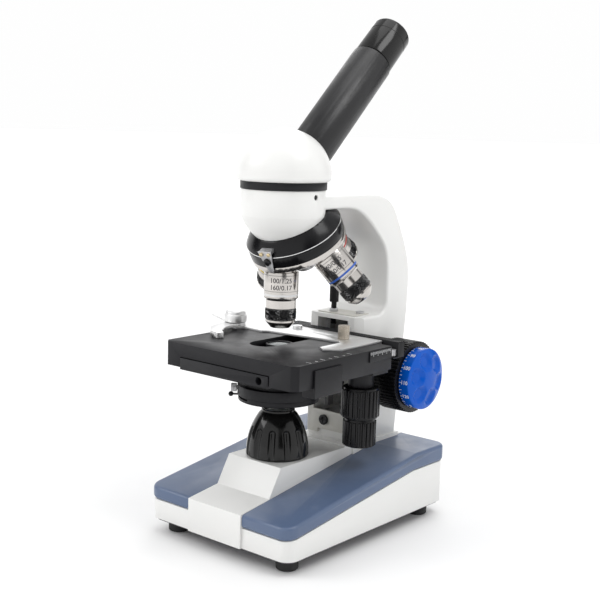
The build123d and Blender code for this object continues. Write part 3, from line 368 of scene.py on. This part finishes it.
def turnedBm(profile, steps=96, closed=True):
    bm = bmesh.new()
    line = [bm.verts.new((radius * mm, 0, height * mm)) for radius, height in profile]
    edges = [bm.edges.new(pair) for pair in zip(line, line[1:])]
    if closed:
        edges.append(bm.edges.new((line[-1], line[0])))
    bmesh.ops.spin(bm, geom=line + edges, cent=(0, 0, 0), axis=(0, 0, 1), angle=2 * math.pi, steps=steps,
                   use_merge=True)
    bmesh.ops.remove_doubles(bm, verts=bm.verts, dist=weld["made"])
    bmesh.ops.recalc_face_normals(bm, faces=bm.faces)
    return bm


def diamondBm(radius, depth, low, high, count, rows):
    bm = bmesh.new()
    bmesh.ops.create_grid(bm, x_segments=count, y_segments=rows, size=0.5)
    for vert in bm.verts:
        column, row = round((vert.co.x + 0.5) * count), round((vert.co.y + 0.5) * rows)
        edgeRow = row in (0, rows)
        reach = radius - depth if edgeRow or (column + row) % 2 else radius
        turn = 2 * math.pi * column / count
        height = low + (high - low) * row / rows
        vert.co = (reach * mm * math.cos(turn), reach * mm * math.sin(turn), height * mm)
    bmesh.ops.remove_doubles(bm, verts=bm.verts, dist=weld["made"])
    rims = [edge for edge in bm.edges if edge.is_boundary]
    inner = bmesh.ops.extrude_edge_only(bm, edges=rims)
    for vert in (item for item in inner["geom"] if isinstance(item, bmesh.types.BMVert)):
        scale = (radius - 3 * depth - 0.4) / (radius - depth)
        vert.co.x *= scale
        vert.co.y *= scale
    ends = [edge for edge in bm.edges if edge.is_boundary]
    bmesh.ops.bridge_loops(bm, edges=ends)
    bmesh.ops.connect_verts_nonplanar(bm, angle_limit=0.01, faces=bm.faces)
    bmesh.ops.recalc_face_normals(bm, faces=bm.faces)
    return bm


def lettersBm(text, size, thickness=0.05):
    curve = bpy.data.curves.new("letters", "FONT")
    curve.body = text
    curve.size = size * mm
    curve.align_x = "CENTER"
    curve.align_y = "CENTER"
    curve.extrude = thickness * mm / 2
    curve.offset = size * mm * 0.012
    curve.resolution_u = 3
    holder = bpy.data.objects.new("letters", curve)
    bpy.context.scene.collection.objects.link(holder)
    bpy.context.view_layer.update()
    mesh = bpy.data.meshes.new_from_object(holder.evaluated_get(bpy.context.evaluated_depsgraph_get()))
    bm = bmesh.new()
    bm.from_mesh(mesh)
    bmesh.ops.remove_doubles(bm, verts=bm.verts, dist=weld["made"])
    bpy.data.objects.remove(holder)
    bpy.data.curves.remove(curve)
    bpy.data.meshes.remove(mesh)
    return bm


def wrapBm(bm, radius, angle, height, alongAxis=False):
    # bends flat letters round an upright cylinder; alongAxis makes them read along it
    for vert in bm.verts:
        across, up, out = vert.co
        if alongAxis:
            across, up = -up, across
        turn = math.radians(angle) + across / (radius * mm)
        reach = radius * mm + out
        vert.co = (reach * math.cos(turn), reach * math.sin(turn), height * mm + up)
    return bm


def blockBm(low, high):
    bm = bmesh.new()
    bmesh.ops.create_cube(bm, size=1.0)
    for vert in bm.verts:
        vert.co = [low[i] + (high[i] - low[i]) * (vert.co[i] + 0.5) for i in range(3)]
    return bm


def joinBm(parts):
    whole = bmesh.new()
    for part in parts:
        mesh = bpy.data.meshes.new("part")
        part.to_mesh(mesh)
        part.free()
        whole.from_mesh(mesh)
        bpy.data.meshes.remove(mesh)
    return whole


def moved(bm, matrix):
    bmesh.ops.transform(bm, matrix=matrix, verts=bm.verts)
    return bm


# CAD pieces that keep their shape and get finished edges

castings = {
    "base_body": ("whitePaint", 0.8), "base_cover_left": ("bluePaint", 0.5),
    "base_cover_right": ("bluePaint", 0.5), "bottom_plate": ("shadedPlatePaint", 0.3),
    "rubber_feet": ("rubber", 0.3), "machine_screws": ("steel", 0.15), "arm": ("whitePaint", 0.7),
    "column_plate": ("columnPaint", 0.35), "guide_cap": ("columnPaint", 0.25),
    "stop_screw": ("blackPlastic", 0.15), "coarse_knobs": ("blackPlastic", 0.2),
    "stage_carrier": ("stageBlack", 0.3), "stage_plate": ("stageBlack", 0.7),
    "stage_scales": ("stageBlack", 0.2), "x_rail": ("stageBlack", 0.2),
    "slide_holder": ("aluminium", 0.25), "clip_lever": ("aluminium", 0.3),
    "y_knob": ("blackPlastic", 0.2), "x_knob": ("blackPlastic", 0.2),
    "condenser_mount": ("stageBlack", 0.35), "condenser_barrel": ("stageBlack", 0.2),
    "iris_cover": ("stageBlack", 0.2), "iris_ring": ("stageBlack", 0.1),
    "nosepiece_body": ("noseBlack", 0.4), "turret_disc": ("barrelChrome", 0.35),
    "turret_grip": ("noseBlack", 0.1), "click_spring": ("steel", 0.2),
    "head_dome": ("whitePaint", 0.4), "head_ring": ("stageBlack", 0.3),
    "eyepiece_tube": ("tubeBlack", 0.3), "lamp_housing": ("glossBlack", 0.3),
    "holder_fittings": ("paleBrass", 0.12), "condenser_screw": ("steel", 0.15),
    "power_socket": ("blackPlastic", 0.3), "power_rocker": ("glossBlack", 0.3),
    "dimmer_wheel": ("blackPlastic", 0.15), "focus_carriage": ("steel", 0.3),
}
plainNodes = {
    "focus_bearings": "steel", "steel_racks": "steel", "coarse_shaft": "steel", "fine_shaft": "steel",
    "x_rack": "steel", "clip_spring": "steel", "condenser_lenses": "glass", "turret_axle": "steel",
    "objective_lenses": "glass", "prism": "glass", "eyepiece_lenses": "glass", "lamp_lens": "glass",
    "circuit_boards": "boardGreen",
}


nosepiece = {
    "springAngle": 5.0, "screw": (0, -36.4, -25.2),
    # line: profile of the chrome ring that paints the highlight on the dome's rim, radius and height in mm
    "line": [(33.3, -22.6), (34.55, -22.7), (34.6, -23.15), (33.3, -23.2)],
}


def noseFrame():
    joint = cadJoints["turret_turn"]
    up, side = -Vector(joint["axis"]).normalized(), Vector((1, 0, 0))
    turn = Matrix((side, up.cross(side), up)).transposed().to_4x4()
    return Matrix.Translation(Vector(joint["pos_m"])) @ turn


def addNosepieceHighlight():
    # a thin chrome ring where the fixed dome meets the band that turns: a painted highlight standing in for the
    # light caught on the dome's rim
    addPiece("nosepieceHighlightRing", moved(turnedBm(nosepiece["line"], 128), noseFrame()), "chrome", "root")


# which loose pieces get another finish, by distances in mm
repaints = {
    "headAbovePlate": 100, "plateSkin": 1, "nearClip": 20, "aboveStage": 4,
    "blackScrew": 1.5, "aboveScrew": 4,
}


def finishCastings():
    made = {}
    for node, (finishName, rounding) in castings.items():
        made[node] = roundedCopy(node, finishName, rounding)
    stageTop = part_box("stage_plate")[1].z
    low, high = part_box("column_plate")
    head, front = high.z + repaints["headAbovePlate"] * mm, high.y + repaints["plateSkin"] * mm
    repaint(made["machine_screws"], "blackPlastic",
            lambda centre: centre.z > head or (centre.z > low.z and centre.y < front))
    lever = Vector(cadJoints["clip_swing"]["pos_m"])
    nearClip, nearStage = repaints["nearClip"] * mm, stageTop + repaints["aboveStage"] * mm
    repaint(made["holder_fittings"], "aluminium",
            lambda centre: (centre - lever).length < nearClip or centre.z < nearStage)
    screw = noseFrame() @ Matrix.Rotation(math.radians(nosepiece["springAngle"]), 4, "Z") @ Vector(
        [part * mm for part in nosepiece["screw"]])
    nearScrew, overScrew = repaints["blackScrew"] * mm, screw.z + repaints["aboveScrew"] * mm
    repaint(made["click_spring"], "blackPlastic", lambda centre: (centre - screw).length < nearScrew)
    repaint(made["click_spring"], "brass", lambda centre: centre.z > overScrew)
    for node, finishName in plainNodes.items():
        dress(node, finishName)
    for node in cadNodes:
        if node.startswith("iris_leaf"):
            dress(node, "stageBlack")


def dress(node, finishName):
    mesh = cadNodes[node].data
    mesh.materials.clear()
    mesh.materials.append(finish(finishName))


# eyepiece

eyepiece = {
    "radius": 14.9, "length": 34.2, "seam": 0.45, "rim": 1.9, "rimHeight": 2.6,
    "bowl": [(12.2, 0.5), (9.6, 2.2), (8.0, 3.4), (7.5, 4.4), (7.5, 5.4), (9.2, 5.4)],   # radius, depth
    "bore": [(9.2, 24.0), (10.2, 24.0), (10.2, -32.0), (11.57, -32.0), (11.57, 0.3)],   # radius, height
    "foot": (0.9, 0.3), "groove": [(0.0, 24.0), (0.25, 24.2), (0.25, 24.7), (0.0, 24.9)],   # inset, height
    "skirt": [(0.9, 0.4), (0.2, 0.9), (0.0, 1.6)],   # inset, height above the seam
}


def tubeFrame():
    joint = cadJoints["eyepiece_lift"]
    along = Vector(joint["axis"]).normalized()
    side = Vector((1, 0, 0))
    turn = Matrix((side, along.cross(side), along)).transposed().to_4x4()
    return Matrix.Translation(Vector(joint["pos_m"])) @ turn


def addEyepiece():
    radius, length, seam = eyepiece["radius"], eyepiece["length"], eyepiece["seam"]
    outer = [(radius - eyepiece["foot"][0], eyepiece["foot"][1])]
    outer += [(radius - inset, seam + height) for inset, height in eyepiece["skirt"]]
    outer += [(radius - inset, height) for inset, height in eyepiece["groove"]]
    rim = []
    for step in range(0, 91, 15):
        turn, high = math.radians(step), eyepiece["rimHeight"]
        rim.append((radius - eyepiece["rim"] * (1 - math.cos(turn)), length - high + high * math.sin(turn)))
    bowl = [(reach, length - depth) for reach, depth in eyepiece["bowl"]]
    bm = turnedBm(outer + rim + bowl + eyepiece["bore"], 128)
    addPiece("eyepieceShell", moved(bm, tubeFrame()), "glossBlack", "eyepiece", ("eyepiece_barrel",))


# objectives

objectives = {
    # radius and height at rest
    "barrel": [
        (5.0, 192.3), (9.95, 192.3), (9.95, 187.8), (11.6, 187.8), (11.95, 187.65), (12.05, 187.3),
        (12.05, 169.9), (11.9, 169.5), (11.55, 169.25), (10.7, 168.4), (10.55, 168.1), (10.55, 162.6),
        (10.4, 162.4), (9.0, 162.4), (9.0, 154.3), (10.2, 154.3), (10.4, 154.1), (10.4, 152.9),
        (10.2, 152.5), (7.0, 148.75), (6.7, 148.6), (3.3, 148.6), (3.2, 148.75), (5.0, 151.0),
    ],
    "radius": 12.05, "ringHigh": 172.6, "ringLow": 171.2, "grooves": (185.6, 174.6, 169.8), "groove": 0.25,
    "sunk": 0.2, "ringProud": 0.03, "grooveProud": 0.015, "letterProud": 0.02,
    "letters": 4.6, "labelHeight": 182.2, "secondLabel": "160/0.17", "secondHeight": 177.4,
    "grip": {"radius": 10.98, "depth": 0.7, "low": 154.4, "high": 162.3, "count": 48, "rows": 10},
    "kinds": [
        ("100/1.25", "ringWhite"), ("40/0.65", "ringBlue"), ("4/0.10", "ringRed"), ("10/0.25", "ringYellow"),
    ],
}


def objectiveFrame(number):
    joint = cadJoints["turret_turn"]
    apex = Vector(joint["pos_m"])
    turn = Matrix.Rotation(math.radians(-90 * number), 4, Vector(joint["axis"]))
    return Matrix.Translation(apex) @ turn @ Matrix.Translation(opticalAxis - apex)


def collarBm(proud, low, high):
    reach = objectives["radius"]
    inner, outer = reach - objectives["sunk"], reach + proud
    return turnedBm([(inner, low), (outer, low), (outer, high), (inner, high)])


def addObjectives():
    grips, letters, barrels = [], [], []
    facing = math.radians(view["azimuth"])
    towardsViewer = Vector((math.sin(facing), -math.cos(facing), 0))
    for number, (label, ringFinish) in enumerate(objectives["kinds"]):
        place = objectiveFrame(number)
        seen = place.to_3x3().inverted() @ towardsViewer
        front = math.degrees(math.atan2(seen.y, seen.x))
        barrels.append(moved(turnedBm(objectives["barrel"], 128), place))
        grips.append(moved(diamondBm(**objectives["grip"]), place))
        ring = collarBm(objectives["ringProud"], objectives["ringLow"], objectives["ringHigh"])
        addPiece(ringFinish + "Band", moved(ring, place), ringFinish, "turret")
        labels = ((label, objectives["labelHeight"]), (objectives["secondLabel"], objectives["secondHeight"]))
        for text, height in labels:
            for face in (front, front + 180):
                word = wrapBm(lettersBm(text, objectives["letters"]),
                              objectives["radius"] + objectives["letterProud"], face, height)
                letters.append(moved(word, place))
        for height in objectives["grooves"]:
            groove = collarBm(objectives["grooveProud"], height, height + objectives["groove"])
            letters.append(moved(groove, place))
    addPiece("objectiveGrips", joinBm(grips), "knurlBlack", "turret", ("objective_grips",), sharpAngle=20)
    addPiece("objectiveBarrels", joinBm(barrels), "barrelChrome", "turret", ("objective_barrels",), sharpAngle=25)
    addPiece("objectiveNumbers", joinBm(letters), "markBlack", "turret")


# fine focus knobs and their scale

scale = {
    "radius": 22.3, "face": 58.1, "numerals": 13, "step": 10, "start": 145.5, "size": 3.9, "ticks": 52,
    "proud": 0.02, "numeralHeight": 5.0, "tickHeight": 0.6, "longTick": 1.9, "shortTick": 0.9,
    "tickLow": (-0.16, -0.05), "tickHigh": (0.16, 0.04),   # across and out, mm
}


def knobFrame(side):
    centre = Vector(cadJoints["fine_turn"]["pos_m"])
    out = Vector((side, 0, 0))
    up = Vector((0, 0, 1))
    turn = Matrix((up, out.cross(up), out)).transposed().to_4x4()
    return Matrix.Translation(Vector((opticalAxis.x, centre.y, centre.z))) @ turn


fineKnob = {
    "inner": 58.1, "thick": 12.9, "rim": 8.0, "faceEdge": 0.6, "step": 0.45,
    "dimples": 6, "ring": 13.6, "firstDimple": 15.0, "dimpleRadius": 6.9, "dimpleDepth": 2.5,
}


def fineKnobBm():
    reach, thick, shoulder = scale["radius"], fineKnob["thick"], fineKnob["rim"]
    crown = thick - shoulder
    dome = (reach ** 2 + crown ** 2) / (2 * crown)
    rim = [(0, 0), (reach - 0.4, 0), (reach, 0.4), (reach, shoulder - 0.6), (reach - 0.15, shoulder + 0.05)]
    edge = reach - fineKnob["faceEdge"]
    steps = round(edge / fineKnob["step"])
    face = []
    for number in range(steps + 1):
        across = edge * (1 - number / steps)
        face.append((across, thick - dome + math.sqrt(dome ** 2 - across ** 2)))
    bm = turnedBm(rim + face, 160, closed=False)
    for vert in bm.verts:
        if vert.co.z < fineKnob["rim"] * mm:
            continue
        for number in range(fineKnob["dimples"]):
            turn = math.radians(fineKnob["firstDimple"] + 360.0 * number / fineKnob["dimples"])
            centre = Vector((math.cos(turn), math.sin(turn))) * fineKnob["ring"] * mm
            apart = (vert.co.xy - centre).length / (fineKnob["dimpleRadius"] * mm)
            if apart < 1:
                vert.co.z -= fineKnob["dimpleDepth"] * mm * min(1.0, 1.35 * (1 - apart ** 2)) ** 1.2
    return bm


def addFineKnobs():
    seat = Matrix.Translation((0, 0, fineKnob["inner"] * mm))
    knobs = [moved(fineKnobBm(), knobFrame(side) @ seat) for side in (-1, 1)]
    addPiece("fineKnobs", joinBm(knobs), "bluePlastic", "fine", ("fine_knobs",), sharpAngle=50)


def addFineScale():
    marks = []
    reach = scale["radius"] + scale["proud"]
    (left, back), (right, front) = scale["tickLow"], scale["tickHigh"]
    for side in (-1, 1):
        place = knobFrame(side)
        for number in range(scale["numerals"]):
            turn = scale["start"] + 360.0 * number / scale["numerals"]
            value = str(scale["step"] * number)
            height = scale["face"] + scale["numeralHeight"]
            word = wrapBm(lettersBm(value, scale["size"]), reach, turn, height, alongAxis=True)
            marks.append(moved(word, place))
        for number in range(scale["ticks"]):
            length = scale["longTick"] if number % 2 == 0 else scale["shortTick"]
            turn = scale["start"] + 360.0 * number / scale["ticks"]
            tick = blockBm((left * mm, 0, back * mm), (right * mm, length * mm, front * mm))
            marks.append(moved(wrapBm(tick, reach, turn, scale["face"] + scale["tickHeight"]), place))
    addPiece("fineScale", joinBm(marks), "markWhite", "fine")


# marks on the stage

stageMarks = {
    "topCount": 7, "topFirst": 17, "topStep": 7.0, "topLong": 4.0, "topShort": 2.6, "topInset": 1.6,
    "topWidth": 0.35, "topSunk": 0.02, "topProud": 0.05,
    "sideCount": 24, "sideFirst": 1.2, "sideLong": 3.2, "sideShort": 1.8, "sideInset": 0.7, "sideWidth": 0.2,
    "sideThick": 0.05, "sideBelow": 1.2,
}


def addStageMarks():
    low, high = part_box("stage_plate")
    marks = []
    rightSide, top = high.x, high.z
    inset = stageMarks["topInset"]
    for number in range(stageMarks["topCount"]):
        y = low.y + (stageMarks["topFirst"] + number * stageMarks["topStep"]) * mm
        length = stageMarks["topLong"] if number % 2 == 0 else stageMarks["topShort"]
        marks.append(blockBm((rightSide - (length + inset) * mm, y, top - stageMarks["topSunk"] * mm),
                             (rightSide - inset * mm, y + stageMarks["topWidth"] * mm,
                              top + stageMarks["topProud"] * mm)))
    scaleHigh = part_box("stage_scales")[1]
    side, thick = scaleHigh.x - stageMarks["sideInset"] * mm, stageMarks["sideThick"] * mm
    below = stageMarks["sideBelow"]
    for number in range(stageMarks["sideCount"]):
        y = scaleHigh.y - (stageMarks["sideFirst"] + number) * mm
        length = stageMarks["sideLong"] if number % 5 == 0 else stageMarks["sideShort"]
        marks.append(blockBm((side - thick, y, top - (below + length) * mm),
                             (side + thick, y + stageMarks["sideWidth"] * mm, top - below * mm)))
    addPiece("stageMarks", joinBm(marks), "markWhite", "stage_top")


# collar round the lamp window

lamp = {
    "ring": [
        (10.2, 88.9), (11.5, 88.9), (11.8, 89.2), (11.8, 90.3), (11.4, 90.8), (10.4, 90.8), (10.2, 90.4),
    ],
}


def addLampCollar():
    bm = turnedBm(lamp["ring"])
    addPiece("lampCollar", moved(bm, Matrix.Translation(opticalAxis)), "glossBlack", "root")


print("camera and studio")
addCamera()
addStudio()
print("finished castings")
finishCastings()
print("eyepiece")
addEyepiece()
print("nosepiece")
addNosepieceHighlight()
print("objectives")
addObjectives()
print("scales and marks")
addFineKnobs()
addFineScale()
addStageMarks()
print("lamp collar")
addLampCollar()
